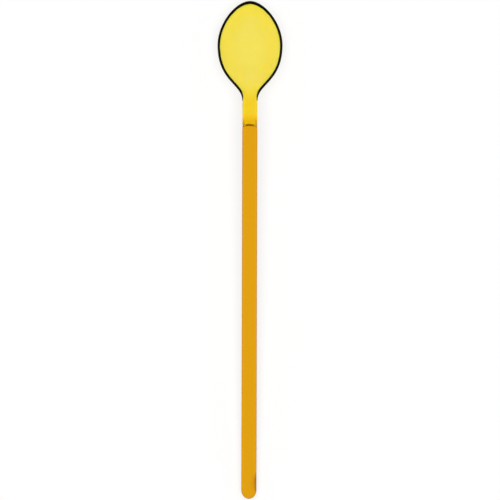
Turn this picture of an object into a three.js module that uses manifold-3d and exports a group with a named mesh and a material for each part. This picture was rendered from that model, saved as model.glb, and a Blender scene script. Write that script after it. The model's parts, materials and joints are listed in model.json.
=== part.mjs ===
// A long-handled dessert spoon: a thin moulded bowl with a dark edge band, and a straight bar handle
// bonded onto a tang behind the bowl's neck.
//
// Millimetres, +Z up. The spoon lies on a table, on the belly of its bowl and the end of its handle.
// +Y runs to the tip of the bowl, X runs across, and the origin is on the table under mid-length.
// A station is a distance from the tip toward the handle, measured level.

import * as THREE from 'three';
import { mergeVertices } from 'three/addons/utils/BufferGeometryUtils.js';
import Module from 'manifold-3d';

const wasm = await Module();
wasm.setup();

// Overall size
const spoonLength = 200;

// Bowl and neck seen from above
const bowlWidth = 26.1;
const widestStation = 17.8;
const tipBreadth = 5.6; // pull of the curve across the tip
const foreFullness = 9; // pull that keeps the sides wide toward the tip
const aftFullness = 14.7; // pull that keeps the sides wide toward the neck
const neckFlare = 6.8; // pull that eases the sides into the neck
const neckStation = 40.2; // where the sides become parallel
const neckLength = 10.3;
const neckWidth = 6.05;

// Bowl and neck seen from the side
const bowlDepth = 6.4;
const sectionPower = 2.4; // 2 is a parabola, more is flatter in the middle
const bowlWall = 1.3;
const bowlTilt = THREE.MathUtils.degToRad(4); // rise of the edge from tip to neck
const neckSweep = 24; // length of the curve from the bowl's edge up to the handle
const troughRun = 5; // how far the hollow runs on into the neck
const neckEdgeRadius = 0.45;

// Dark band along the bowl's edge
const bandWidth = 0.95;
const bandTipExtra = 0.25; // added width at the tip
const bandTipRun = 4; // length over which that is lost
const bandTaper = 5.5; // length over which it narrows toward the neck
const bandOverrun = 1.4; // how far it would reach past the start of the neck
const bandEndShare = 0.15; // share of its width at which it stops
const bandEndHeight = 0.5; // share of its height that is left where its width runs out
const tongueDepth = 0.4; // key on the bowl's edge, inside the band
const tongueThickness = 0.7;
const tongueRoot = 0.4; // overlap of the key with the bowl it is part of

// Handle, along its own axis
const handleWidth = 6.05;
const handleThickness = 3.8;
const handleDroop = THREE.MathUtils.degToRad(3.4);
const handleEdgeRadius = 0.45;
const handleEndLength = 3.6; // the round end is half an ellipse
const mouthBulge = 0.45; // how far its front end bows toward the bowl

// Joint between neck and handle
const sealThickness = 0.4;
const sealSetback = 0.2; // how far it sits below the surfaces beside it
const tangWidth = 3.2;
const tangThickness = 1.4;
const tangLength = 26;
const tangChamfer = 0.8;
const tangRoot = 3; // overlap of the tang with the neck it is part of
const bondThickness = 0.3;
const fitGap = 0.1;

// Faceting
const foreSteps = 16;
const aftSteps = 22;
const neckSteps = 6;
const ribSteps = 8;
const roundSteps = 3;
const noseSteps = 10;
const mouthSteps = 6;
const endSteps = 24;
const slopeStep = 0.02;
const searchSteps = 40;
const settleSteps = 12;

// Sizes that follow
const tipY = spoonLength / 2;
const halfBowl = bowlWidth / 2;
const halfNeck = neckWidth / 2;
const halfHandle = handleWidth / 2;
const halfThickness = handleThickness / 2;
const jointStation = neckStation + neckLength;
const neckOverlap = 2 * mouthBulge + sealThickness + 2 * fitGap;
const cutterHeight = 3 * handleThickness;
const sweepStation = jointStation - neckSweep;
const bandEndStation = neckStation + bandOverrun;
const handleEndReach = (halfThickness - handleEdgeRadius) * Math.sin(handleDroop);
const handleLength = (spoonLength - jointStation - handleEndReach) / Math.cos(handleDroop);
const mouthRadius = (halfHandle ** 2 + mouthBulge ** 2) / (2 * mouthBulge);
const jointHeight =
  (handleLength - handleEdgeRadius) * Math.sin(handleDroop) + halfThickness * Math.cos(handleDroop);

// The handle's own frame: origin in the joint, +Y toward the bowl, +Z out of its top face
const handleFrame = new THREE.Group();
handleFrame.position.set(0, tipY - jointStation, jointHeight);
handleFrame.rotation.x = handleDroop;
handleFrame.updateMatrix();

// Height of the tip's edge above the table, settled below
let tipHeight = bowlDepth + bowlWall;

const smooth = (from, to, value) => THREE.MathUtils.smoothstep(value, from, to);

// Half of the outline seen from above, as (distance from the middle, station)
const plan = (x, station) => new THREE.Vector2(x, station);
const foreCurve = new THREE.CubicBezierCurve(
  plan(0, 0),
  plan(tipBreadth, 0),
  plan(halfBowl, widestStation - foreFullness),
  plan(halfBowl, widestStation),
);
const aftCurve = new THREE.CubicBezierCurve(
  plan(halfBowl, widestStation),
  plan(halfBowl, widestStation + aftFullness),
  plan(halfNeck, neckStation - neckFlare),
  plan(halfNeck, neckStation),
);
const neckLine = new THREE.LineCurve(
  plan(halfNeck, neckStation),
  plan(halfNeck, jointStation + neckOverlap),
);

// Half width of the outline at a station
function halfWidthAt(station) {
  if (station >= neckStation) return halfNeck;
  const curve = station < widestStation ? foreCurve : aftCurve;
  let low = 0;
  let high = 1;
  for (let step = 0; step < searchSteps; step += 1) {
    const middle = (low + high) / 2;
    if (curve.getPoint(middle).y < station) low = middle;
    else high = middle;
  }
  return curve.getPoint(high).x;
}

// Depth of the hollow below the edge line. It depends only on how far a point lies inside the outline,
// so its level lines are smaller outlines, and it runs out along the neck.
function hollowAt(x, station) {
  const inside = (halfWidthAt(station) ** 2 - x ** 2) / halfBowl ** 2;
  const runOut = 1 - smooth(neckStation - neckFlare, neckStation + troughRun, station);
  return bowlDepth * runOut * (1 - (1 - inside) ** (sectionPower / 2));
}

// Height of the edge line above the tip: straight along the bowl, then a sweep up to the handle's top
function edgeRise(station) {
  const tilt = Math.tan(bowlTilt);
  if (station <= sweepStation) return station * tilt;
  const share = (station - sweepStation) / neckSweep;
  const start = sweepStation * tilt;
  const end = jointHeight + halfThickness / Math.cos(handleDroop) - tipHeight;
  const startPull = neckSweep * tilt;
  const endPull = -neckSweep * Math.tan(handleDroop);
  const blend = share ** 2 * (3 - 2 * share);
  return (
    start * (1 - blend) + end * blend +
    startPull * share * (1 - share) ** 2 + endPull * share ** 2 * (share - 1)
  );
}

const topRise = (x, station) => edgeRise(station) - hollowAt(x, station);

// The wall is measured square to the surface, and thickens along the neck to the handle's thickness
function undersideRise(x, station) {
  const across = topRise(x + slopeStep, station) - topRise(x - slopeStep, station);
  const along = topRise(x, station + slopeStep) - topRise(x, station - slopeStep);
  const steepness = Math.hypot(1, across / (2 * slopeStep), along / (2 * slopeStep));
  const thicken = smooth(neckStation - neckFlare, jointStation, station);
  const wall = THREE.MathUtils.lerp(bowlWall, handleThickness, thicken);
  return topRise(x, station) - wall * steepness;
}

// The belly of the bowl is set down on the table, while the sweep still ends on the handle
const belly = [...foreCurve.getPoints(searchSteps), ...aftCurve.getPoints(searchSteps)];
for (let step = 0; step < settleSteps; step += 1) {
  tipHeight = -Math.min(...belly.map(({ y }) => undersideRise(0, y)));
}
const topAt = ({ x, y }) => tipHeight + topRise(x, y);
const undersideAt = ({ x, y }) => tipHeight + undersideRise(x, y);

// Share of the full band width at a station, 1 round the bowl and falling to 0 on the neck
const bandShare = (station) => 1 - smooth(bandEndStation - bandTaper, bandEndStation, station);

// How far inside the outline the bowl's edge lies, to leave room for the band
const bandSeat = (station) =>
  bandWidth * bandShare(station) + bandTipExtra * (1 - smooth(0, bandTipRun, station));

// Points along half of the outline from the tip to the joint, each with its inward direction
function outlinePoints() {
  const fore = foreCurve.getPoints(foreSteps);
  const aft = aftCurve.getPoints(aftSteps).slice(1);
  const neck = neckLine.getPoints(neckSteps).slice(1);
  const points = [...fore, ...aft, ...neck];
  const beyondTip = plan(-points[1].x, points[1].y);
  return points.map((at, i) => {
    const before = points[i - 1] ?? beyondTip;
    const after = points[i + 1] ?? at;
    const along = after.clone().sub(before).normalize();
    return { at, inward: plan(-along.y, along.x), share: bandShare(at.y), seat: bandSeat(at.y) };
  });
}
const outline = outlinePoints();
const insetPoint = ({ at, inward }, distance) => at.clone().addScaledVector(inward, distance);

// A closed surface gathered from triangles, with shared corners merged
function surfaceOf(corners) {
  const geometry = new THREE.BufferGeometry().setFromPoints(corners);
  return mergeVertices(geometry);
}

const quad = (a, b, c, d) => [a, b, c, a, c, d];
const mirrored = (corners) => corners.map(({ x, y, z }) => new THREE.Vector3(-x, y, z)).reverse();

function solidOf(geometry) {
  const bare = geometry.clone();
  bare.deleteAttribute('normal');
  bare.deleteAttribute('uv');
  const merged = mergeVertices(bare);
  const vertProperties = new Float32Array(merged.attributes.position.array);
  const triVerts = new Uint32Array(merged.index.array);
  return new wasm.Manifold(new wasm.Mesh({ numProp: 3, vertProperties, triVerts }));
}

function geometryOf(solid) {
  const { vertProperties, triVerts } = solid.getMesh();
  const geometry = new THREE.BufferGeometry();
  geometry.setAttribute('position', new THREE.BufferAttribute(vertProperties, 3));
  geometry.setIndex(new THREE.BufferAttribute(triVerts, 1));
  geometry.computeVertexNormals();
  return geometry;
}

// Upper and lower rows of points on one rib of the bowl, which runs from its edge to the middle line
const spineStart = widestStation / 2;
function ribRows(point) {
  const edge = insetPoint(point, point.seat);
  const lean = Math.min(point.at.y / neckStation, 1);
  const spine = plan(0, Math.max(point.at.y, THREE.MathUtils.lerp(spineStart, neckStation, lean)));
  const length = edge.distanceTo(spine);
  const rows = { top: [], underside: [] };
  const addPoint = (distance, drop) => {
    const at = edge.clone().lerp(spine, distance / length);
    const y = tipY - at.y;
    rows.top.push(new THREE.Vector3(at.x, y, topAt(at) - drop));
    rows.underside.push(new THREE.Vector3(at.x, y, undersideAt(at) + drop));
  };
  for (let step = 0; step <= roundSteps; step += 1) {
    const turn = (Math.PI / 2) * (1 - step / roundSteps);
    const drop = neckEdgeRadius * (1 - Math.cos(turn)) * (1 - point.share);
    addPoint(neckEdgeRadius * (1 - Math.sin(turn)), drop);
  }
  for (let step = 1; step <= ribSteps; step += 1) {
    addPoint(THREE.MathUtils.lerp(neckEdgeRadius, length, step / ribSteps), 0);
  }
  return rows;
}

// Bowl and neck as one lofted shell: ribs laid side by side from the tip to the joint, and mirrored
function bowlShell() {
  const ribs = outline.map(ribRows);
  const corners = [];
  for (let i = 1; i < ribs.length; i += 1) {
    const { top: topA, underside: lowA } = ribs[i - 1];
    const { top: topB, underside: lowB } = ribs[i];
    corners.push(...quad(topA[0], topB[0], lowB[0], lowA[0]));
    for (let j = 1; j < topA.length; j += 1) {
      corners.push(...quad(topA[j - 1], topA[j], topB[j], topB[j - 1]));
      corners.push(...quad(lowA[j - 1], lowB[j - 1], lowB[j], lowA[j]));
    }
  }
  const { top, underside } = ribs.at(-1);
  for (let j = 1; j < top.length; j += 1) {
    corners.push(...quad(top[j - 1], top[j], underside[j], underside[j - 1]));
  }
  return surfaceOf([...corners, ...mirrored(corners)]);
}

// A section carried round the bowl's edge, from the neck by way of the tip and back to the neck.
// It lists (distance inside the outline, height), anticlockwise with outward to the right.
function aroundEdge(sectionAt) {
  const right = outline.filter(({ share }) => share >= bandEndShare).reverse();
  const loopOf = (point, side) =>
    sectionAt(point).map(({ x: distance, y: height }) => {
      const at = insetPoint(point, distance);
      return new THREE.Vector3(side * at.x, tipY - at.y, height);
    });
  const left = right.slice(0, -1).reverse();
  const loops = [...right.map((point) => loopOf(point, 1)), ...left.map((point) => loopOf(point, -1))];
  const corners = [];
  for (let i = 1; i < loops.length; i += 1) {
    loops[i].forEach((corner, k) => {
      const next = (k + 1) % loops[i].length;
      corners.push(...quad(loops[i - 1][k], corner, loops[i][next], loops[i - 1][next]));
    });
  }
  const outward = sectionAt(right[0]).map(({ x, y }) => plan(-x, y));
  for (const [a, b, c] of THREE.ShapeUtils.triangulateShape(outward, [])) {
    corners.push(loops[0][a], loops[0][b], loops[0][c]);
    corners.push(loops.at(-1)[c], loops.at(-1)[b], loops.at(-1)[a]);
  }
  return surfaceOf(corners);
}

// Key along the bowl's edge that the band is moulded round
function tongueSection(point) {
  const edge = insetPoint(point, point.seat);
  const middle = (topAt(edge) + undersideAt(edge)) / 2;
  const inner = point.seat + tongueRoot;
  const outer = point.seat - tongueDepth * point.share;
  const half = tongueThickness / 2;
  return [
    plan(inner, middle - half),
    plan(outer, middle - half),
    plan(outer, middle + half),
    plan(inner, middle + half),
  ];
}

// The band carries on the bowl's two faces, turns over a round nose and has a groove for the key
function bandSection(point) {
  const gap = fitGap * point.share;
  const edge = insetPoint(point, point.seat);
  const middle = (topAt(edge) + undersideAt(edge)) / 2;
  const half = tongueThickness / 2 + fitGap;
  const inner = point.seat - gap;
  const bottom = inner - tongueDepth * point.share;
  const noseReach = point.seat / 2;
  const crest = insetPoint(point, noseReach);
  const lower = THREE.MathUtils.lerp(bandEndHeight, 1, point.share);
  const edgeHalf = (lower * (topAt(edge) - undersideAt(edge))) / 2;
  const noseMiddle = (topAt(crest) + undersideAt(crest)) / 2;
  const noseHalf = (lower * (topAt(crest) - undersideAt(crest))) / 2;
  const section = [plan(inner, middle - half), plan(inner, middle - edgeHalf)];
  for (let step = 0; step <= noseSteps; step += 1) {
    const turn = Math.PI * (step / noseSteps - 1 / 2);
    section.push(plan(noseReach * (1 - Math.cos(turn)), noseMiddle + noseHalf * Math.sin(turn)));
  }
  section.push(plan(inner, middle + edgeHalf), plan(inner, middle + half));
  section.push(plan(bottom, middle + half), plan(bottom, middle - half));
  return section;
}

// A box centred across the handle, between two places along its axis
function barBetween(width, thickness, from, to) {
  const bar = new THREE.BoxGeometry(width, to - from, thickness);
  return bar.translate(0, (from + to) / 2, 0);
}

// An outline in the handle's plane, given thickness evenly above and below it, with rounded edges
function slab(corners, thickness, radius) {
  const slabGeometry = new THREE.ExtrudeGeometry(new THREE.Shape(corners), {
    depth: thickness - 2 * radius,
    bevelEnabled: radius > 0,
    bevelThickness: radius,
    bevelSize: radius,
    bevelOffset: -radius,
    bevelSegments: roundSteps,
  });
  return slabGeometry.translate(0, 0, radius - thickness / 2);
}

// Bowed line across the joint from right to left, a given distance in front of the handle's mouth
function mouthLine(distance, halfWidth) {
  const radius = mouthRadius + distance;
  const right = Math.acos(halfWidth / radius);
  const centre = mouthBulge - mouthRadius;
  const arc = new THREE.EllipseCurve(0, centre, radius, radius, right, Math.PI - right);
  return arc.getPoints(mouthSteps);
}

// Everything behind the neck's bowed end face, to be cut away
function neckCutter() {
  const reach = halfNeck + fitGap;
  const back = -2 * neckOverlap;
  const face = mouthLine(sealThickness + 2 * fitGap, reach);
  return slab([...face, plan(-reach, back), plan(reach, back)], cutterHeight, 0);
}

// Tang with a chamfered end
function tangBar() {
  const half = tangWidth / 2;
  const corners = [
    plan(half, tangRoot),
    plan(-half, tangRoot),
    plan(-half, tangChamfer - tangLength),
    plan(tangChamfer - half, -tangLength),
    plan(half - tangChamfer, -tangLength),
    plan(half, tangChamfer - tangLength),
  ];
  return slab(corners, tangThickness, 0);
}

function bowlGeometry() {
  const placed = (geometry) => solidOf(geometry.applyMatrix4(handleFrame.matrix));
  const shell = solidOf(bowlShell()).subtract(placed(neckCutter()));
  return geometryOf(shell.add(solidOf(aroundEdge(tongueSection))).add(placed(tangBar())));
}

// Room round the tang, grown by a margin on its sides and end
const roundTang = (margin, front) =>
  barBetween(tangWidth + 2 * margin, tangThickness + 2 * margin, -tangLength - margin, front);

// Gasket between neck and handle, pierced by the tang
function sealGeometry() {
  const half = halfHandle - sealSetback;
  const neckSide = mouthLine(fitGap + sealThickness, half);
  const handleSide = mouthLine(fitGap, half).reverse();
  const ring = solidOf(slab([...neckSide, ...handleSide], handleThickness - 2 * sealSetback, 0));
  return geometryOf(ring.subtract(solidOf(roundTang(fitGap, tangRoot))));
}

// Cured bond that fills the socket round the tang
function bondGeometry() {
  const sleeve = solidOf(roundTang(fitGap + bondThickness, 0));
  return geometryOf(sleeve.subtract(solidOf(roundTang(fitGap, tangRoot))));
}

// Straight bar with a round end, a bowed mouth and a blind socket
function handleGeometry() {
  const endCentre = handleEndLength - handleLength;
  const end = new THREE.EllipseCurve(0, endCentre, halfHandle, handleEndLength, Math.PI, 2 * Math.PI);
  const corners = [...mouthLine(0, halfHandle), ...end.getPoints(endSteps)];
  const bar = solidOf(slab(corners, handleThickness, handleEdgeRadius));
  const socket = solidOf(roundTang(bondThickness + 2 * fitGap, tangRoot));
  return geometryOf(bar.subtract(socket));
}

function piece(name, geometry, colour, roughness) {
  const material = new THREE.MeshStandardMaterial({ color: colour, roughness, metalness: 0 });
  const mesh = new THREE.Mesh(geometry, material);
  mesh.name = name;
  return mesh;
}

handleFrame.add(
  piece('handle', handleGeometry(), 0xe1a00e, 0.4),
  piece('joint_seal', sealGeometry(), 0x5c3c08, 0.8),
  piece('tang_bond', bondGeometry(), 0xe8d9a4, 0.6),
);

const spoon = new THREE.Group();
spoon.add(
  piece('bowl', bowlGeometry(), 0xf5e15c, 0.2),
  piece('edge_band', aroundEdge(bandSection), 0x15130a, 0.5),
  handleFrame,
);

export default spoon;
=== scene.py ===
"""Looks of a long-handled dessert spoon, over its fixed CAD frame.

Metres, +Z up, +Y toward the tip of the bowl. The spoon lies on a pale floor and is
seen from straight above.
"""

import json
import math

import bpy
from bpy.props import FloatProperty, FloatVectorProperty, IntProperty, PointerProperty
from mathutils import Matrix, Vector
from mathutils.geometry import interpolate_bezier
from mathutils.kdtree import KDTree

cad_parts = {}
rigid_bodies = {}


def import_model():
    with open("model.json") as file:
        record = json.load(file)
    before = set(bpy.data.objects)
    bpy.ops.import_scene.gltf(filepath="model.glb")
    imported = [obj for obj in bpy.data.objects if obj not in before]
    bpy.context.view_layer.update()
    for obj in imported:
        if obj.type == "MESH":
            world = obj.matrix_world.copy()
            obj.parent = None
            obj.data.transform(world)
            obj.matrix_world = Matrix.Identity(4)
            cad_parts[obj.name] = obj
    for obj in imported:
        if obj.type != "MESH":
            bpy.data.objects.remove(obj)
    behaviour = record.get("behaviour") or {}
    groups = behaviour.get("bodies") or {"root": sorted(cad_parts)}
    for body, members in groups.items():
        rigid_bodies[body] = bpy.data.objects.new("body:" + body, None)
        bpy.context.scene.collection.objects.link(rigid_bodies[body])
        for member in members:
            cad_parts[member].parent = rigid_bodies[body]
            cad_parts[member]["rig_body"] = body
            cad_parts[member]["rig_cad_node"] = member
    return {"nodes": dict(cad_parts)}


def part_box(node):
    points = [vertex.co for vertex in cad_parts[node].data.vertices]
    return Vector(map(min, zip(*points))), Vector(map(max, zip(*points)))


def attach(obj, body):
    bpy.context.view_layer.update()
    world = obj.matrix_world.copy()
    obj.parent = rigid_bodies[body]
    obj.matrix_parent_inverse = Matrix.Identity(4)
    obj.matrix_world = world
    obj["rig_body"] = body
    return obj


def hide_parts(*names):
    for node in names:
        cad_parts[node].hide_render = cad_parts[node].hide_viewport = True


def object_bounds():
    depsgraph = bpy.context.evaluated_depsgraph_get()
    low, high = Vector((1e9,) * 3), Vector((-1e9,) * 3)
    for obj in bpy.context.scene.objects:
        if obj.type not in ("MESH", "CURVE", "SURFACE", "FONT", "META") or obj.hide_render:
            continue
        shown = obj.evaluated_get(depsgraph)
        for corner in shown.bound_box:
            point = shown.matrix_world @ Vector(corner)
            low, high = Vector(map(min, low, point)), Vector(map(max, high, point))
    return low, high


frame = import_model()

bl_info = {
    "name": "Dessert Spoon",
    "version": (1, 0, 0),
    "blender": (4, 5, 0),
    "location": "View3D > Sidebar > Spoon",
    "description": "Models and finishes a long-handled dessert spoon over its CAD frame",
    "category": "Object",
}

MM = 0.001
CAD_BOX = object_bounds()
HANDLE_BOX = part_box("handle")

# How close two places count as one, how far off upright an edge may be, and how close points merge
NEAR = 0.01 * MM
UPRIGHT = 0.001 * MM
MERGED = 0.002 * MM

# Edges sharper than these stay sharp
MOULDING_SHARP = math.radians(38)
BAR_SHARP = math.radians(35)

# Rows of the bowl's edge before and behind its widest place and along the neck
FORE_ROWS = 18
AFT_ROWS = 24
NECK_ROWS = 5
NECK_STEP = 1.8 * MM

# Steps round each corner of the neck's section, and cuts across its top and bottom
NECK_CORNER_STEPS = 3
NECK_CUTS = 11

# The flat that ends the bowl at its tip: its share of the next row's width and of the way there
TIP_FLAT = 0.35
TIP_SETBACK = 0.12

# Room between the bowl's edge and the seat of the band
SEAT_ROOM = 0.02 * MM

# Height from which the bowl is draped, and the height at which a point has missed the CAD bowl
DRAPE_LIFT = 50 * MM
DRAPE_MISSED = 40 * MM

# How far two triangles of the band may bend and differ in shape and still be joined
JOIN_BEND = math.radians(30)
JOIN_SKEW = math.radians(60)

# Lips of the band: how far from the bowl they are found at its ends, and how much farther over its
# full width, the least weight that counts as lip, and the room that is left when they are seated
LIP_END_REACH = 0.04 * MM
LIP_REACH = 0.25 * MM
LIP_WEIGHT = 0.99
LIP_ROOM = 0.012 * MM

# Room between the band and the sides of its CAD box
BOX_ROOM = 0.002 * MM

# Ends of the band: where its groove is found, and what is left of the groove and of the height
GROOVE_REACH = 0.075 * MM
GROOVE_HEIGHT = 0.8
GROOVE_LEFT = 0.25
END_HEIGHT_LEFT = 0.5

# Handle: columns of its bowed mouth, steps of its rounded edges and of each half of its round end,
# and the share of the half width that each half takes
MOUTH_COLUMNS = 8
EDGE_STEPS = 5
END_STEPS = 20
END_SHARE = 0.9999

# Places along the spoon between which its colours change
NECK_TO_BOWL = (61 * MM, 64 * MM)
THICK_TO_THIN = (58 * MM, 67 * MM)
JOINT_TO_NECK = (51 * MM, 55 * MM)
JOINT_CORNERS = (51 * MM, 53 * MM)
BAND_RUN_OUT = (56.8 * MM, 59.6 * MM)
HANDLE_TO_MOUTH = (47 * MM, 48.5 * MM)

# Distances from the band, and from the middle, between which they change
RIM_SLANT = (0.4 * MM, 9 * MM)
RIM_GLINT = (0.1 * MM, 0.8 * MM)
NECK_SIDE = (1.9 * MM, 2.5 * MM)
NECK_CORNER = (1.8 * MM, 2.6 * MM)
NECK_EDGE_SHADE = (2.55 * MM, 2.9 * MM)
# Painted light along the handle's sides rises between these distances from the middle
HANDLE_LIT_SIDE = (1.8 * MM, 2.6 * MM)
SEAL_FILL_START = (1.3 * MM, 1.8 * MM)
SEAL_FILL_END = (2.3 * MM, 2.6 * MM)

# Brown painted shade by the handle's end: its place, and its reach along and down the side
END_SHADE_ACROSS = 3.1 * MM
END_SHADE_ALONG = -93.6 * MM
END_SHADE_HEIGHT = 4.2 * MM
END_SHADE_LENGTH = 5.2 * MM
END_SHADE_DEPTH = 3 * MM

# How fast the brown painted shade and the fainter painted shade round it fade toward the middle,
# and how strong they are
END_SHADE_FADE = 0.6
END_SHADE_SHARE = 0.75
END_SHADE_HALO_FADE = 0.11
END_SHADE_HALO_SHARE = 0.22
END_SHADE_LIMIT = 0.8

# Shares of the other lines and tints that are mixed into neck and handle: painted glint on the
# neck, the amber tint at its corners, painted shade along the upper rounded edges, painted light
# along the handle's sides, and real grain
NECK_GLINT = 0.35
NECK_CORNER_AMBER = 0.8
NECK_SHADE = 0.3
RUN_OUT_SHADE = 0.4
HANDLE_EDGE_SHADE = 0.4
HANDLE_SIDE_LIGHT = 0.7
HANDLE_GRAIN_TINT = 0.25

# Upward part of the normal between which a rounded edge counts as neither side nor top; the painted
# edge shade goes there
ROUNDING_FOOT = (0.05, 0.25)
ROUNDING_TOP = (0.6, 0.95)

# Refraction of the two plastics, and depth of the moulded grain
PLASTIC_IOR = 1.49
GRAIN_DEPTH = 0.05 * MM

# Stage: the floor, with its grey for bounced light and as it is seen, the heights between which the
# white walls turn into a dim ceiling, and the panel overhead
FLOOR_SIZE = 24
FLOOR_GREY = 0.5
FLOOR_SEEN_GREY = 0.32
WALL_TOP = (0.15, 0.6)
CEILING_DIMMING = 0.9
PANEL_POWER = 24
PANEL_SIZE = 1.6
PANEL_HEIGHT = 1.5

# Camera: a long lens far above, the width that it sees, and its place and roll over the spoon
LENS = 800
SENSOR = 36
VIEW_SPAN = 201.05 * MM
VIEW_CENTRE = (0.2 * MM, -0.02 * MM)
VIEW_ROLL = math.radians(0.153)
VIEW_FAR = 50


def length(name, description, default):
    """A size that a user may change, in metres."""
    return FloatProperty(
        name=name,
        description=description,
        default=default,
        subtype="DISTANCE",
        unit="LENGTH",
        precision=5,
    )


def colour(name, description, default):
    """A colour that a user may change, written as the shade seen on screen."""
    return FloatVectorProperty(
        name=name,
        description=description,
        default=shade(default),
        subtype="COLOR",
        size=3,
        min=0,
        max=1,
    )


def shade(code):
    """Linear red, green and blue of a screen colour."""
    parts = [int(code[i : i + 2], 16) / 255 for i in (1, 3, 5)]
    return tuple(p / 12.92 if p <= 0.04045 else ((p + 0.055) / 1.055) ** 2.4 for p in parts)


class SpoonSizes(bpy.types.PropertyGroup):
    """Sizes of the pieces that are modelled here"""

    bowl_width: length("Bowl width", "Width over the edge band", CAD_BOX[1].x - CAD_BOX[0].x)
    widest: length("Widest place", "Distance from the tip to the widest place", 17.8 * MM)
    tip_breadth: length("Tip breadth", "Pull of the outline across the tip", 5.6 * MM)
    fore_fullness: length("Fore fullness", "Pull that keeps the sides wide to the tip", 9 * MM)
    aft_fullness: length("Aft fullness", "Pull that keeps the sides wide to the neck", 14.7 * MM)
    neck_flare: length("Neck flare", "Pull that eases the sides into the neck", 6.8 * MM)
    neck_start: length("Neck start", "Distance from the tip to the parallel sides", 40.2 * MM)
    neck_width: length("Neck width", "Width of the neck", 6.05 * MM)
    neck_edge: length("Neck edge", "Radius along the neck's edges", 0.45 * MM)
    shoulder: length("Shoulder", "Length from the neck's start to its full width", 0.5 * MM)
    shoulder_rise: length("Shoulder rise", "How far the neck fills out behind the band", 0.12 * MM)
    neck_gap: length("Neck gap", "Room between neck and handle for the seal", 0.6 * MM)
    band_width: length("Band width", "Width of the dark edge band", 0.95 * MM)
    band_tip_extra: length("Band tip", "Added width of the band at the tip", 0.25 * MM)
    band_tip_run: length("Band tip run", "Length over which that is lost", 4 * MM)
    band_end: length("Band end", "Distance from the tip to where the band runs out", 41.6 * MM)
    band_taper: length("Band taper", "Length over which the band runs out", 5.5 * MM)
    tang_width: length("Tang width", "Width of the tang", 3.2 * MM)
    tang_thickness: length("Tang thickness", "Thickness of the tang", 1.4 * MM)
    tang_length: length("Tang length", "Length of the tang behind the joint", 26 * MM)
    handle_width: length("Handle width", "Width of the bar", HANDLE_BOX[1].x - HANDLE_BOX[0].x)
    handle_thickness: length("Handle thickness", "Thickness of the bar", 3.8 * MM)
    handle_edge: length("Handle edge", "Radius along the bar's edges", 0.45 * MM)
    handle_end: length("Round end", "Length of the half ellipse that ends the bar", 3.6 * MM)
    mouth_bulge: length("Mouth bulge", "How far the bar's front bows toward the bowl", 0.45 * MM)
    handle_droop: FloatProperty(
        name="Handle droop",
        description="Slope of the bar down to its end",
        default=math.radians(3.4),
        subtype="ANGLE",
        unit="ROTATION",
    )
    handle_joint: length("Joint", "Place of the joint along the spoon", 49.5 * MM)
    socket_width: length("Socket width", "Width of the socket for the tang", 4.2 * MM)
    socket_thickness: length("Socket thickness", "Thickness of the socket for the tang", 2.4 * MM)
    socket_depth: length("Socket depth", "Depth of the socket for the tang", 26.5 * MM)
    smoothing: IntProperty(
        name="Smoothing",
        description="Subdivision of the bowl and its band",
        default=2,
        min=1,
        max=3,
    )


class SpoonFinish(bpy.types.PropertyGroup):
    """Colours of the finishes"""

    bowl: colour("Bowl", "Thin plastic in the middle of the bowl", "#ffe867")
    bowl_edge: colour("Bowl near its edge", "Plastic seen at a slant near the edge", "#fde44b")
    glint: colour("Glint", "Light along the inside of the band and the neck's edges", "#ffe434")
    neck: colour("Neck", "Thick plastic in the neck", "#f9d429")
    neck_end: colour("Neck end", "Plastic at the joint", "#edbc0a")
    # Painted shade: darker colour on the steep upper rounded edges of neck and handle
    edge_shade: colour("Edge line", "Thin dark line along neck and handle", "#4a3c08")
    band: colour("Edge band", "Soft dark edge", "#090704")
    band_worn: colour("Band grain", "Paler flecks in the soft edge", "#13100a")
    handle: colour("Handle", "Amber bar", "#dd9e00")
    # Painted light: brighter amber along the handle's sides
    handle_edge_light: colour("Handle edge", "Brighter amber along the bar's edges", "#e6a000")
    # Painted shade: a brown patch on the side by the handle's end
    handle_end_shade: colour("Handle stain", "Brown mark by the bar's end", "#b06a08")
    seal: colour("Seal", "Gasket in the joint", "#8a5503")
    seal_pale: colour("Seal filled", "Gasket where amber has run over it", "#f2b412")
    bond: colour("Bond", "Cured resin round the tang", "#e8d9a4")
    bond_cloud: colour("Bond cloud", "Cloudy streaks in the resin", "#d8c68c")


class Value:
    """One output of a shader node, so that sums and products of values read as expressions."""

    def __init__(self, finish, socket):
        self.finish = finish
        self.socket = socket

    def maths(self, operation, *values):
        """A Math node on some values."""
        return self.finish.add("ShaderNodeMath", {"operation": operation}, dict(enumerate(values)))

    def __add__(self, other):
        return self.maths("ADD", self, other)

    def __radd__(self, other):
        return self.maths("ADD", other, self)

    def __sub__(self, other):
        return self.maths("SUBTRACT", self, other)

    def __rsub__(self, other):
        return self.maths("SUBTRACT", other, self)

    def __mul__(self, other):
        return self.maths("MULTIPLY", self, other)

    def __rmul__(self, other):
        return self.maths("MULTIPLY", other, self)

    def __truediv__(self, other):
        return self.maths("DIVIDE", self, other)

    def __abs__(self):
        return self.maths("ABSOLUTE", self)

    def at_most(self, other):
        return self.maths("MINIMUM", self, other)

    def rising(self, low, high):
        """0 below low, 1 above high, and a smooth rise between them."""
        return self.finish.add(
            "ShaderNodeMapRange",
            {"interpolation_type": "SMOOTHSTEP"},
            {"Value": self, "From Min": low, "From Max": high},
            "Result",
        )


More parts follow.
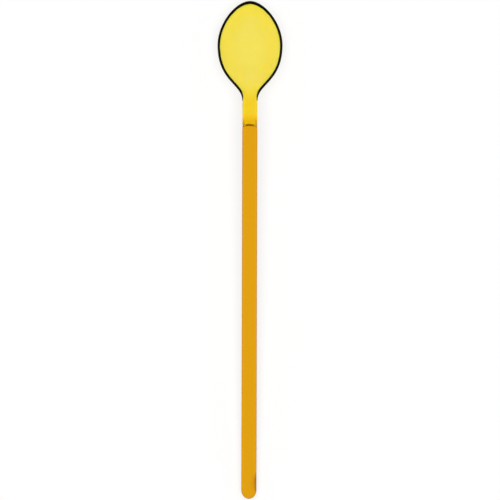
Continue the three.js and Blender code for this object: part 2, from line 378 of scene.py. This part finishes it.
class Finish:
    """A material whose nodes are added one by one."""

    def __init__(self, name, world=None):
        self.material = world or bpy.data.materials.new(name)
        self.material.use_nodes = True
        self.tree = self.material.node_tree
        self.tree.nodes.clear()
        kind = "ShaderNodeOutputWorld" if world else "ShaderNodeOutputMaterial"
        self.output = self.tree.nodes.new(kind)
        self.place = self.add("ShaderNodeTexCoord", {}, {}, "Generated" if world else "Object")
        self.x, self.y, self.z = (
            self.add("ShaderNodeSeparateXYZ", {}, {"Vector": self.place}, axis) for axis in "XYZ"
        )

    def add(self, kind, settings, values, output=0):
        """The wanted output of a new node with these settings and values or links."""
        node = self.tree.nodes.new(kind)
        for name, setting in settings.items():
            setattr(node, name, setting)
        for name, value in values.items():
            socket = node.inputs[name]
            if isinstance(value, Value):
                self.tree.links.new(value.socket, socket)
            else:
                socket.default_value = value
        return Value(self, node.outputs[output])

    def mix(self, share, first, second):
        """Colour between two colours."""
        rgba = [v if isinstance(v, Value) else (*v, 1) for v in (first, second)]
        values = {"Factor": share, 6: rgba[0], 7: rgba[1]}
        return self.add("ShaderNodeMix", {"data_type": "RGBA"}, values, 2)

    def noise(self, scale, detail=2, stretch=(1, 1, 1)):
        """Soft noise from 0 to 1, with its scale along each axis."""
        place = self.add("ShaderNodeMapping", {}, {"Vector": self.place, "Scale": stretch})
        values = {"Vector": place, "Scale": scale, "Detail": detail}
        return self.add("ShaderNodeTexNoise", {}, values)

    def upper_rounding(self):
        """1 on the steep part of a piece's upper rounded edges, 0 on its top and its sides."""
        facing = self.add("ShaderNodeNewGeometry", {}, {}, "Normal")
        upward = self.add("ShaderNodeSeparateXYZ", {}, {"Vector": facing}, "Z")
        return upward.rising(*ROUNDING_FOOT) * (1 - upward.rising(*ROUNDING_TOP))

    def grain(self, height, strength):
        """Normal of a fine moulded grain."""
        values = {"Height": height, "Strength": strength, "Distance": GRAIN_DEPTH}
        return self.add("ShaderNodeBump", {}, values)

    def surface(self, **values):
        """The one shader of the finish, with its inputs named in lower case."""
        named = {}
        for name, value in values.items():
            named[name.replace("_", " ").title().replace("Ior", "IOR")] = value
        return self.finished(self.add("ShaderNodeBsdfPrincipled", {}, named))

    def finished(self, shader):
        """The material, once its last shader is linked to its output."""
        self.tree.links.new(shader.socket, self.output.inputs["Surface"])
        return self.material


def bowl_finish(finish):
    """Clear lemon plastic that is deeper where it is thick or seen at a slant, with a painted glint
    inside the band and along the neck, and painted shade along the neck's upper rounded edges that
    grows where the band runs out.
    """
    made = Finish("lemon_plastic")
    rim = made.add("ShaderNodeAttribute", {"attribute_name": "rim"}, {}, "Fac")
    across = abs(made.x)
    in_bowl = made.y.rising(*NECK_TO_BOWL)
    slant = 1 - rim.rising(*RIM_SLANT)
    glint = (1 - rim.rising(*RIM_GLINT)) * in_bowl
    thick = 1 - made.y.rising(*THICK_TO_THIN)
    neck_edge = across.rising(*NECK_SIDE) * (1 - in_bowl)
    ends = 1 - made.y.rising(*JOINT_TO_NECK)
    shaded_upper_edge = across.rising(*NECK_EDGE_SHADE) * made.upper_rounding() * (1 - in_bowl)
    run_out = made.y.rising(*BAND_RUN_OUT)
    side_end = across.rising(*NECK_CORNER) * (1 - made.y.rising(*JOINT_CORNERS))
    tint = made.mix(slant, finish.bowl, finish.bowl_edge)
    tint = made.mix(glint, tint, finish.glint)
    tint = made.mix(thick, tint, finish.neck)
    tint = made.mix(NECK_GLINT * neck_edge, tint, finish.glint)
    tint = made.mix(ends, tint, finish.neck_end)
    tint = made.mix(NECK_CORNER_AMBER * side_end, tint, finish.handle)
    # Painted shade along the neck's upper rounded edges, stronger where the band runs out
    tint = made.mix(shaded_upper_edge * (NECK_SHADE + RUN_OUT_SHADE * run_out), tint, finish.edge_shade)
    smudge = made.noise(160, 3)
    return made.surface(
        base_color=tint,
        roughness=0.1 + 0.08 * smudge,
        ior=PLASTIC_IOR,
        specular_ior_level=0.3,
        subsurface_weight=0.7,
        subsurface_scale=1.2 * MM,
        subsurface_radius=(1, 0.8, 0.15),
        normal=made.grain(made.noise(900), 0.04),
    )


def band_finish(finish):
    """Soft near-black edge with a fine moulded grain."""
    made = Finish("soft_dark_edge")
    grain = made.noise(2600, 3)
    return made.surface(
        base_color=made.mix(grain.rising(0.35, 0.75), finish.band, finish.band_worn),
        roughness=0.55 + 0.16 * grain,
        specular_ior_level=0.05,
        normal=made.grain(grain, 0.12),
    )


def handle_finish(finish):
    """Even amber plastic with painted light along its sides, a faint grain, a brown painted shade
    by its end and painted shade along its upper rounded edges.
    """
    made = Finish("amber_plastic")
    edge = abs(made.x).rising(*HANDLE_LIT_SIDE)
    grain = made.noise(70, 3, (4, 0.4, 4))
    # Painted shade: a brown patch on the side by the bar's end, with a fainter painted shade round
    # it
    along = (made.y - END_SHADE_ALONG) / END_SHADE_LENGTH
    inward = (made.x - END_SHADE_ACROSS) / MM
    down = (made.z - END_SHADE_HEIGHT) / END_SHADE_DEPTH
    spread = along * along + down * down
    end_shade = 1 - (spread + END_SHADE_FADE * inward * inward).rising(0.1, 1)
    end_shade_halo = 1 - (spread + END_SHADE_HALO_FADE * inward * inward).rising(0, 1)
    brown = (END_SHADE_SHARE * end_shade + END_SHADE_HALO_SHARE * end_shade_halo).at_most(END_SHADE_LIMIT)
    # Painted shade along the bar's upper rounded edges, behind the mouth
    behind_mouth = 1 - made.y.rising(*HANDLE_TO_MOUTH)
    line = HANDLE_EDGE_SHADE * made.upper_rounding() * behind_mouth
    # Painted light along the bar's sides, mixed with the real grain
    side_light_and_grain = HANDLE_SIDE_LIGHT * edge + HANDLE_GRAIN_TINT * grain
    tint = made.mix(side_light_and_grain, finish.handle, finish.handle_edge_light)
    tint = made.mix(brown, tint, finish.handle_end_shade)
    tint = made.mix(line, tint, finish.edge_shade)
    smudge = made.noise(120, 4)
    return made.surface(
        base_color=tint,
        roughness=0.26 + 0.12 * smudge,
        ior=PLASTIC_IOR,
        specular_ior_level=0.1,
        normal=made.grain(made.noise(1400), 0.05),
    )


def seal_finish(finish):
    """Dark gasket that amber has partly run over."""
    made = Finish("joint_gasket")
    across = abs(made.x)
    filled = across.rising(*SEAL_FILL_START) * (1 - across.rising(*SEAL_FILL_END))
    grain = made.noise(3000)
    return made.surface(
        base_color=made.mix(filled, finish.seal, finish.seal_pale),
        roughness=0.6 + 0.1 * grain,
        specular_ior_level=0.2,
        normal=made.grain(grain, 0.1),
    )


def bond_finish(finish):
    """Pale cured resin."""
    made = Finish("cured_resin")
    cloud = made.noise(300)
    return made.surface(
        base_color=made.mix(cloud, finish.bond, finish.bond_cloud),
        roughness=0.5 + 0.1 * cloud,
        normal=made.grain(made.noise(1200), 0.1),
    )


def deselect_all():
    """Leaves object mode with nothing selected."""
    if bpy.context.object and bpy.context.object.mode != "OBJECT":
        bpy.ops.object.mode_set(mode="OBJECT")
    bpy.ops.object.select_all(action="DESELECT")


def make_active(piece):
    """Selects one piece alone."""
    deselect_all()
    piece.select_set(True)
    bpy.context.view_layer.objects.active = piece


def apply_modifier(piece, kind, **settings):
    """Adds one modifier, sets it and applies it."""
    make_active(piece)
    bpy.ops.object.modifier_add(type=kind)
    modifier = piece.modifiers[-1]
    for name, setting in settings.items():
        setattr(modifier, name, setting)
    bpy.ops.object.modifier_apply(modifier=modifier.name)


def merged_copy(node, name):
    """A copy of a CAD node with its points merged."""
    source = frame["nodes"][node]
    make_active(source)
    bpy.ops.object.duplicate()
    piece = bpy.context.object
    if piece is source:
        raise RuntimeError(f"{node} was not copied")
    piece.name = name
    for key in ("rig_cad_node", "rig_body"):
        del piece[key]
    piece.data.materials.clear()
    bpy.ops.object.mode_set(mode="EDIT")
    bpy.ops.mesh.customdata_custom_splitnormals_clear()
    bpy.ops.mesh.select_all(action="SELECT")
    bpy.ops.mesh.remove_doubles(threshold=MERGED)
    bpy.ops.object.mode_set(mode="OBJECT")
    return piece


def smooth_over(piece, levels):
    """Creases the sharp edges of a piece and subdivides it."""
    make_active(piece)
    bpy.ops.object.mode_set(mode="EDIT")
    bpy.ops.mesh.select_all(action="DESELECT")
    bpy.ops.mesh.select_mode(type="EDGE")
    bpy.ops.mesh.edges_select_sharp(sharpness=MOULDING_SHARP)
    bpy.ops.transform.edge_crease(value=1)
    bpy.ops.object.mode_set(mode="OBJECT")
    apply_modifier(piece, "SUBSURF", levels=levels, render_levels=levels)
    bpy.ops.object.shade_smooth_by_angle(angle=MOULDING_SHARP)


def settle(piece, node, material):
    """Gives a finished piece its material and its body, and hides the CAD node that it stands for.
    """
    piece.data.materials.append(material)
    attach(piece, "root")
    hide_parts(node)


def write_rim_distance(piece):
    """Stores on each point its distance from the dark band."""
    band = frame["nodes"]["edge_band"].data.vertices
    tree = KDTree(len(band))
    for i, vertex in enumerate(band):
        tree.insert(vertex.co, i)
    tree.balance()
    rim = piece.data.attributes.new("rim", "FLOAT", "POINT")
    for i, vertex in enumerate(piece.data.vertices):
        rim.data[i].value = tree.find(vertex.co)[2]


def select_points(piece, wanted):
    """In edit mode, selects the points whose place passes the test."""
    bpy.ops.mesh.select_mode(type="VERT")
    bpy.ops.mesh.select_all(action="DESELECT")
    bpy.ops.object.mode_set(mode="OBJECT")
    for vertex in piece.data.vertices:
        vertex.select = wanted(vertex.co)
    bpy.ops.object.mode_set(mode="EDIT")


def select_edges(piece, wanted):
    """In edit mode, selects the edges whose two ends pass the test."""
    bpy.ops.mesh.select_mode(type="EDGE")
    bpy.ops.mesh.select_all(action="DESELECT")
    bpy.ops.object.mode_set(mode="OBJECT")
    points = piece.data.vertices
    for edge in piece.data.edges:
        edge.select = wanted(points[edge.vertices[0]].co, points[edge.vertices[1]].co)
    bpy.ops.object.mode_set(mode="EDIT")


def select_faces(piece, wanted):
    """In edit mode, selects the faces whose middle passes the test."""
    bpy.ops.mesh.select_mode(type="FACE")
    bpy.ops.mesh.select_all(action="DESELECT")
    bpy.ops.object.mode_set(mode="OBJECT")
    for face in piece.data.polygons:
        face.select = wanted(face.center)
    bpy.ops.object.mode_set(mode="EDIT")


def smooth(low, high, value):
    """0 below low, 1 above high, and a smooth rise between them."""
    share = min(max((value - low) / (high - low), 0), 1)
    return share * share * (3 - 2 * share)


def bar_length(sizes):
    """Length of the handle along its own axis, behind the joint."""
    reach = (sizes.handle_thickness / 2 - sizes.handle_edge) * math.sin(sizes.handle_droop)
    return (sizes.handle_joint - CAD_BOX[0].y - reach) / math.cos(sizes.handle_droop)


def joint_height(sizes):
    """Height of the handle's axis at the joint, with the bar's end on the table."""
    rise = (bar_length(sizes) - sizes.handle_edge) * math.sin(sizes.handle_droop)
    return rise + sizes.handle_thickness / 2 * math.cos(sizes.handle_droop)


def mouth_bow(sizes, x):
    """How far the handle's mouth bows toward the bowl at a distance from the middle."""
    half, bulge = sizes.handle_width / 2, sizes.mouth_bulge
    radius = (half**2 + bulge**2) / (2 * bulge)
    return math.sqrt(radius**2 - x**2) - radius + bulge


def band_share(sizes, station):
    """Share of the band's full width at a distance from the tip."""
    return 1 - smooth(sizes.band_end - sizes.band_taper, sizes.band_end, station)


def edge_rows(sizes):
    """Half width and place of each row of the bowl's edge, from the neck to a flat at the tip."""
    half, neck = sizes.bowl_width / 2, sizes.neck_width / 2

    def at(across, station):
        return Vector((across, CAD_BOX[1].y - station, 0))

    widest, start = at(half, sizes.widest), at(neck, sizes.neck_start)
    before = at(half, sizes.widest - sizes.fore_fullness)
    after = at(half, sizes.widest + sizes.aft_fullness)
    flare = at(neck, sizes.neck_start - sizes.neck_flare)
    fore = interpolate_bezier(at(0, 0), at(sizes.tip_breadth, 0), before, widest, FORE_ROWS)
    aft = interpolate_bezier(widest, after, flare, start, AFT_ROWS)
    shoulder = at(neck, sizes.neck_start + sizes.shoulder)
    along_neck = [at(neck, sizes.neck_start + (row + 1) * NECK_STEP) for row in range(NECK_ROWS)]
    points = fore + aft[1:] + [shoulder] + along_neck
    rows = []
    for i, point in enumerate(points):
        ahead = points[i + 1] if i + 1 < len(points) else point
        behind = points[i - 1] if i else Vector((-ahead.x, ahead.y, 0))
        along = (ahead - behind).normalized()
        station = CAD_BOX[1].y - point.y
        room = sizes.band_width * band_share(sizes, station)
        room += sizes.band_tip_extra * (1 - smooth(0, sizes.band_tip_run, station)) + SEAT_ROOM
        if point is shoulder:
            room += sizes.shoulder_rise
        rows.append((point.x + along.y * room, point.y - along.x * room))
    (_, tip), (half, place) = rows[:2]
    rows[0] = (TIP_FLAT * half, tip - TIP_SETBACK * (tip - place))
    return rows[::-1]


class SPOON_OT_bowl(bpy.types.Operator):
    """Models the bowl with its neck and tang, drawn out row by row and draped over the CAD bowl"""

    bl_idname = "spoon.bowl"
    bl_label = "Bowl"

    def execute(self, context):
        sizes = context.scene.spoon_sizes
        rows = edge_rows(sizes)
        piece = self.section(sizes, rows[0])
        self.draw_out(piece, rows)
        self.drape(piece)
        self.fill_shoulder(piece, sizes, rows)
        self.fit_to_joint(piece, sizes, rows[0][1])
        smooth_over(piece, sizes.smoothing)
        write_rim_distance(piece)
        settle(piece, "bowl", bowl_finish(context.scene.spoon_finish))
        return {"FINISHED"}

    def section(self, sizes, row):
        """The neck's end section, standing across the spoon: a plate with rounded corners."""
        half, place = row
        deselect_all()
        bpy.ops.mesh.primitive_plane_add(size=1)
        piece = bpy.context.object
        piece.name = "bowl_moulding"
        bpy.ops.object.mode_set(mode="EDIT")
        bpy.ops.transform.rotate(value=math.radians(90), orient_axis="X", center_override=(0, 0, 0))
        bpy.ops.transform.resize(value=(2 * half, 1, sizes.handle_thickness))
        bpy.ops.mesh.bevel(offset=sizes.neck_edge, segments=NECK_CORNER_STEPS, affect="VERTICES")
        select_edges(piece, lambda a, b: abs(a.x - b.x) > half)
        bpy.ops.mesh.subdivide(number_cuts=NECK_CUTS)
        bpy.ops.mesh.select_all(action="SELECT")
        bpy.ops.transform.translate(value=(0, place, 0))
        return piece

    def draw_out(self, piece, rows):
        """Extrudes the section forward row by row, each as wide as the bowl's edge there."""
        half, place = rows[0]
        for next_half, next_place in rows[1:]:
            step = (0, next_place - place, 0)
            bpy.ops.mesh.extrude_region_move(TRANSFORM_OT_translate={"value": step})
            growth = (next_half / half, 1, 1)
            bpy.ops.transform.resize(value=growth, center_override=(0, next_place, 0))
            half, place = next_half, next_place

    def drape(self, piece):
        """Sets the upper half down on the CAD bowl and the lower half up against it."""
        for side in (1, -1):
            select_points(piece, lambda at: at.z * side > 0)
            bpy.ops.transform.translate(value=(0, 0, side * DRAPE_LIFT))
            bpy.ops.object.vertex_group_assign_new()
            bpy.ops.object.mode_set(mode="OBJECT")
            apply_modifier(
                piece,
                "SHRINKWRAP",
                target=frame["nodes"]["bowl"],
                wrap_method="PROJECT",
                use_project_z=True,
                use_negative_direction=side > 0,
                use_positive_direction=side < 0,
                vertex_group=piece.vertex_groups[-1].name,
            )
            bpy.ops.object.mode_set(mode="EDIT")
        select_edges(piece, lambda a, b: abs(a.x - b.x) < UPRIGHT and abs(a.y - b.y) < UPRIGHT)
        bpy.ops.mesh.subdivide()
        bpy.ops.object.vertex_group_remove(all=True)
        bpy.ops.object.mode_set(mode="OBJECT")
        if any(abs(vertex.co.z) > DRAPE_MISSED for vertex in piece.data.vertices):
            raise RuntimeError("Part of the bowl missed the CAD bowl")

    def fill_shoulder(self, piece, sizes, rows):
        """Widens the neck just behind the band, so that its sides run on from the band's."""
        behind = CAD_BOX[1].y - sizes.neck_start - NEAR
        half, place = max((row for row in rows if row[1] < behind), key=lambda row: row[1])
        full = rows[0][0]
        bpy.ops.object.mode_set(mode="EDIT")
        select_points(piece, lambda at: abs(at.y - place) < NEAR)
        bpy.ops.transform.resize(value=(full / half, 1, 1), center_override=(0, place, 0))
        bpy.ops.object.mode_set(mode="OBJECT")

    def fit_to_joint(self, piece, sizes, place):
        """Bows the neck's end, turns it square to the handle and draws the tang out of it."""
        slope = math.tan(sizes.handle_droop)
        height = joint_height(sizes)
        points = [vertex.co for vertex in piece.data.vertices]
        columns = sorted({round(at.x, 6) for at in points if abs(at.y - place) < NEAR})
        bpy.ops.object.mode_set(mode="EDIT")
        for x in columns:
            back = sizes.handle_joint + sizes.neck_gap + mouth_bow(sizes, x) - place
            select_points(piece, lambda at: abs(at.y - place) < NEAR and abs(at.x - x) < NEAR)
            bpy.ops.transform.translate(value=(0, back, back * slope))
        select_points(piece, lambda at: at.y < place - NEAR)
        middle = sizes.neck_gap + sizes.mouth_bulge / 2
        pivot = (0, sizes.handle_joint + middle, height + middle * slope)
        bpy.ops.transform.rotate(value=-sizes.handle_droop, orient_axis="X", center_override=pivot)
        front = sizes.neck_gap + sizes.mouth_bulge
        root = (0, sizes.handle_joint + front, height + front * slope)
        narrow = sizes.tang_width / sizes.neck_width
        thin = sizes.tang_thickness / sizes.handle_thickness
        bpy.ops.mesh.extrude_region_move(TRANSFORM_OT_translate={"value": (0, 0, 0)})
        bpy.ops.transform.resize(value=(narrow, 0, thin), center_override=root)
        reach = sizes.tang_length * math.cos(sizes.handle_droop) + front
        step = (0, -reach, -reach * slope)
        bpy.ops.mesh.extrude_region_move(TRANSFORM_OT_translate={"value": step})
        bpy.ops.object.mode_set(mode="OBJECT")


class SPOON_OT_edge_band(bpy.types.Operator):
    """Models the soft dark band round the bowl's edge"""

    bl_idname = "spoon.edge_band"
    bl_label = "Edge band"

    def execute(self, context):
        sizes = context.scene.spoon_sizes
        bowl = bpy.data.objects["bowl_moulding"]
        piece = merged_copy("edge_band", "edge_band_moulding")
        self.join_triangles(piece)
        self.mark_lips(piece, bowl, sizes)
        self.taper_ends(piece)
        smooth_over(piece, sizes.smoothing)
        self.seat_lips(piece, bowl)
        settle(piece, "edge_band", band_finish(context.scene.spoon_finish))
        return {"FINISHED"}

    def join_triangles(self, piece):
        """Joins the triangles to quads, apart from those that close the two ends."""
        end = min(vertex.co.y for vertex in piece.data.vertices)
        bpy.ops.object.mode_set(mode="EDIT")
        select_faces(piece, lambda at: at.y > end + NEAR)
        bpy.ops.mesh.tris_convert_to_quads(face_threshold=JOIN_BEND, shape_threshold=JOIN_SKEW)
        bpy.ops.object.mode_set(mode="OBJECT")

    def mark_lips(self, piece, bowl, sizes):
        """Groups the points that face the bowl's edge and keeps the lines along them sharp."""

        def on_lip(at):
            reach = LIP_REACH * band_share(sizes, CAD_BOX[1].y - at.y) + LIP_END_REACH
            return (bowl.closest_point_on_mesh(at)[1] - at).length < reach

        bpy.ops.object.mode_set(mode="EDIT")
        select_points(piece, on_lip)
        bpy.ops.object.vertex_group_assign_new()
        select_edges(piece, lambda a, b: (a - b).xy.length > NEAR and on_lip(a) and on_lip(b))
        bpy.ops.transform.edge_crease(value=1)
        bpy.ops.object.mode_set(mode="OBJECT")

    def taper_ends(self, piece):
        """Draws each end of the band down to a thin lip and lets its groove run out there."""
        bpy.ops.object.mode_set(mode="EDIT")
        for side in (1, -1):
            ends = [vertex.co for vertex in piece.data.vertices if vertex.co.x * side > 0]
            place = min(at.y for at in ends)
            lip = [at.copy() for at in ends if at.y < place + NEAR]
            middle = sum(lip, Vector()) / len(lip)
            inner = min(at.x * side for at in lip)
            tall = GROOVE_HEIGHT * max(abs(at.z - middle.z) for at in lip)

            def in_groove(at):
                at_end = at.y < place + NEAR and abs(at.z - middle.z) < tall
                return at_end and 0 < at.x * side < inner + GROOVE_REACH

            select_points(piece, in_groove)
            mouth = (inner * side, place, 0)
            bpy.ops.transform.resize(value=(GROOVE_LEFT, 1, 1), center_override=mouth)
            select_points(piece, lambda at: at.x * side > 0 and at.y < place + NEAR)
            bpy.ops.transform.resize(value=(1, 1, END_HEIGHT_LEFT), center_override=middle)
        bpy.ops.object.mode_set(mode="OBJECT")

    def seat_lips(self, piece, bowl):
        """Draws the band out to its full size and brings its lips up to the bowl's edge."""
        low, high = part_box("edge_band")
        full = high - low - Vector((1, 1, 0)) * BOX_ROOM
        growth = (full.x / piece.dimensions.x, full.y / piece.dimensions.y, 1)
        make_active(piece)
        bpy.ops.object.mode_set(mode="EDIT")
        bpy.ops.mesh.select_all(action="SELECT")
        bpy.ops.transform.resize(value=growth, center_override=(0, low.y, 0))
        bpy.ops.object.mode_set(mode="OBJECT")
        bpy.ops.object.vertex_group_clean(group_select_mode="ALL", limit=LIP_WEIGHT)
        apply_modifier(
            piece,
            "SHRINKWRAP",
            target=bowl,
            wrap_method="NEAREST_SURFACEPOINT",
            offset=LIP_ROOM,
            vertex_group=piece.vertex_groups[-1].name,
        )
        bpy.ops.object.vertex_group_remove(all=True)


class SPOON_OT_handle(bpy.types.Operator):
    """Models the handle as a bar with a round end, a bowed mouth and a socket"""

    bl_idname = "spoon.handle"
    bl_label = "Handle"

    def execute(self, context):
        sizes = context.scene.spoon_sizes
        half = sizes.handle_width / 2
        thick = sizes.handle_thickness / 2
        bar = bar_length(sizes)
        deselect_all()
        bpy.ops.mesh.primitive_cube_add(size=1)
        piece = context.object
        piece.name = "handle_bar"
        bpy.ops.object.mode_set(mode="EDIT")
        bpy.ops.transform.resize(value=(2 * half, bar, 2 * thick))
        bpy.ops.transform.translate(value=(0, -bar / 2, 0))
        self.round_end(piece, half, bar, sizes.handle_end)
        self.bow_mouth(piece, sizes)
        select_edges(piece, lambda a, b: abs(a.z - b.z) < NEAR)
        bpy.ops.mesh.bevel(offset=sizes.handle_edge, segments=EDGE_STEPS, affect="EDGES")
        bpy.ops.object.mode_set(mode="OBJECT")
        self.cut_socket(piece, sizes)
        piece.location = (0, sizes.handle_joint, joint_height(sizes))
        piece.rotation_euler = (sizes.handle_droop, 0, 0)
        make_active(piece)
        bpy.ops.object.transform_apply(location=True, rotation=True, scale=True)
        bpy.ops.object.shade_smooth_by_angle(angle=BAR_SHARP)
        settle(piece, "handle", handle_finish(context.scene.spoon_finish))
        return {"FINISHED"}

    def round_end(self, piece, half, bar, end):
        """Bevels the two back corners into a half round and draws it out to half an ellipse."""
        back = NEAR - bar
        select_edges(piece, lambda a, b: a.y < back and b.y < back and abs(a.x - b.x) < NEAR)
        bpy.ops.mesh.bevel(offset=half * END_SHARE, segments=END_STEPS, affect="EDGES")
        select_points(piece, lambda at: at.y < half - bar + NEAR)
        bpy.ops.transform.translate(value=(0, bar - half, 0))
        bpy.ops.transform.resize(value=(1, end / half, 1), center_override=(0, 0, 0))
        bpy.ops.transform.translate(value=(0, end - bar, 0))
        bpy.ops.mesh.remove_doubles(threshold=NEAR)

    def bow_mouth(self, piece, sizes):
        """Divides the front edges and pushes the middle forward along an arc."""
        half = sizes.handle_width / 2
        select_edges(piece, lambda a, b: a.y > -NEAR and b.y > -NEAR and abs(a.x - b.x) > half)
        bpy.ops.mesh.subdivide(number_cuts=MOUTH_COLUMNS - 1)
        for column in range(1, MOUTH_COLUMNS):
            x = half * (2 * column / MOUTH_COLUMNS - 1)
            select_points(piece, lambda at: at.y > -NEAR and abs(at.x - x) < NEAR)
            bpy.ops.transform.translate(value=(0, mouth_bow(sizes, x), 0))

    def cut_socket(self, piece, sizes):
        """Cuts the blind socket that takes the tang."""
        deselect_all()
        bpy.ops.mesh.primitive_cube_add(size=1)
        cutter = bpy.context.object
        bpy.ops.object.mode_set(mode="EDIT")
        socket = (sizes.socket_width, 2 * sizes.socket_depth, sizes.socket_thickness)
        bpy.ops.transform.resize(value=socket)
        bpy.ops.object.mode_set(mode="OBJECT")
        apply_modifier(piece, "BOOLEAN", object=cutter, operation="DIFFERENCE", solver="EXACT")
        bpy.data.objects.remove(cutter)


class SPOON_OT_joint(bpy.types.Operator):
    """Finishes the gasket and the bond in the joint, which keep their CAD shapes"""

    bl_idname = "spoon.joint"
    bl_label = "Joint"

    def execute(self, context):
        finish = context.scene.spoon_finish
        finishes = {"joint_seal": seal_finish(finish), "tang_bond": bond_finish(finish)}
        for node, material in finishes.items():
            part = frame["nodes"][node]
            part.data.materials.clear()
            part.data.materials.append(material)
        return {"FINISHED"}


class SPOON_OT_stage(bpy.types.Operator):
    """Sets the floor, the light and the camera"""

    bl_idname = "spoon.stage"
    bl_label = "Stage"

    def execute(self, context):
        deselect_all()
        bpy.ops.mesh.primitive_plane_add(size=FLOOR_SIZE)
        floor = context.object
        floor.name = "floor"
        floor.data.materials.append(self.floor_finish())
        self.light(context)
        self.camera(context)
        context.scene.view_settings.view_transform = "Standard"
        return {"FINISHED"}

    def floor_finish(self):
        """Pale floor that shows white away from the spoon and keeps its shadow."""
        made = Finish("pale_floor")
        path = made.add("ShaderNodeLightPath", {}, {}, "Is Camera Ray")
        glossy = Value(made, path.socket.node.outputs["Is Glossy Ray"])
        through = Value(made, path.socket.node.outputs["Is Transmission Ray"])
        seen = (path + glossy + through).at_most(1)
        grey = FLOOR_GREY - (FLOOR_GREY - FLOOR_SEEN_GREY) * seen
        light = (1 - FLOOR_SEEN_GREY) * seen
        dull = made.add("ShaderNodeBsdfDiffuse", {}, {"Color": grey})
        glow = made.add("ShaderNodeEmission", {}, {"Color": (1, 1, 1, 1), "Strength": light})
        return made.finished(made.add("ShaderNodeAddShader", {}, {0: dull, 1: glow}))

    def light(self, context):
        """White walls all round, a dim ceiling and a broad soft panel overhead."""
        world = bpy.data.worlds.new("soft_studio")
        world.use_nodes = True
        made = Finish("soft_studio", world)
        walls = 1 - CEILING_DIMMING * made.z.rising(*WALL_TOP)
        seen = made.add("ShaderNodeLightPath", {}, {}, "Is Camera Ray")
        strength = seen + (1 - seen) * walls
        white = {"Color": (1, 1, 1, 1), "Strength": strength}
        context.scene.world = made.finished(made.add("ShaderNodeBackground", {}, white))
        lamp = bpy.data.lights.new("overhead_panel", "AREA")
        lamp.energy = PANEL_POWER
        lamp.size = PANEL_SIZE
        panel = bpy.data.objects.new("overhead_panel", lamp)
        context.scene.collection.objects.link(panel)
        panel.location = (0, 0, PANEL_HEIGHT)
        panel.visible_glossy = False

    def camera(self, context):
        """Long lens straight above, as far off as its view takes."""
        lens = bpy.data.cameras.new("view_from_above")
        lens.lens = LENS
        lens.sensor_width = SENSOR
        lens.clip_end = VIEW_FAR
        eye = bpy.data.objects.new("view_from_above", lens)
        context.scene.collection.objects.link(eye)
        eye.location = (*VIEW_CENTRE, VIEW_SPAN * LENS / SENSOR)
        eye.rotation_euler = (0, 0, VIEW_ROLL)
        context.scene.camera = eye


class SPOON_PT_panel(bpy.types.Panel):
    """Lists the pieces, sizes and colours"""

    bl_idname = "SPOON_PT_panel"
    bl_label = "Dessert spoon"
    bl_space_type = "VIEW_3D"
    bl_region_type = "UI"
    bl_category = "Spoon"

    def draw(self, context):
        """One button for each operator, then the sizes and the colours."""
        for operator in OPERATORS:
            self.layout.operator(operator.bl_idname)
        for group in (context.scene.spoon_sizes, context.scene.spoon_finish):
            box = self.layout.box()
            for name in group.__annotations__:
                box.prop(group, name)


OPERATORS = (SPOON_OT_bowl, SPOON_OT_edge_band, SPOON_OT_handle, SPOON_OT_joint, SPOON_OT_stage)
CLASSES = (SpoonSizes, SpoonFinish, *OPERATORS, SPOON_PT_panel)


def register():
    """Adds the classes, and the sizes and colours of a scene."""
    for made in CLASSES:
        bpy.utils.register_class(made)
    bpy.types.Scene.spoon_sizes = PointerProperty(type=SpoonSizes)
    bpy.types.Scene.spoon_finish = PointerProperty(type=SpoonFinish)


def unregister():
    """Takes away what register adds."""
    del bpy.types.Scene.spoon_finish
    del bpy.types.Scene.spoon_sizes
    for made in reversed(CLASSES):
        bpy.utils.unregister_class(made)


def main():
    register()
    bpy.ops.spoon.bowl()
    bpy.ops.spoon.edge_band()
    bpy.ops.spoon.handle()
    bpy.ops.spoon.joint()
    bpy.ops.spoon.stage()


if __name__ == "__main__":
    main()
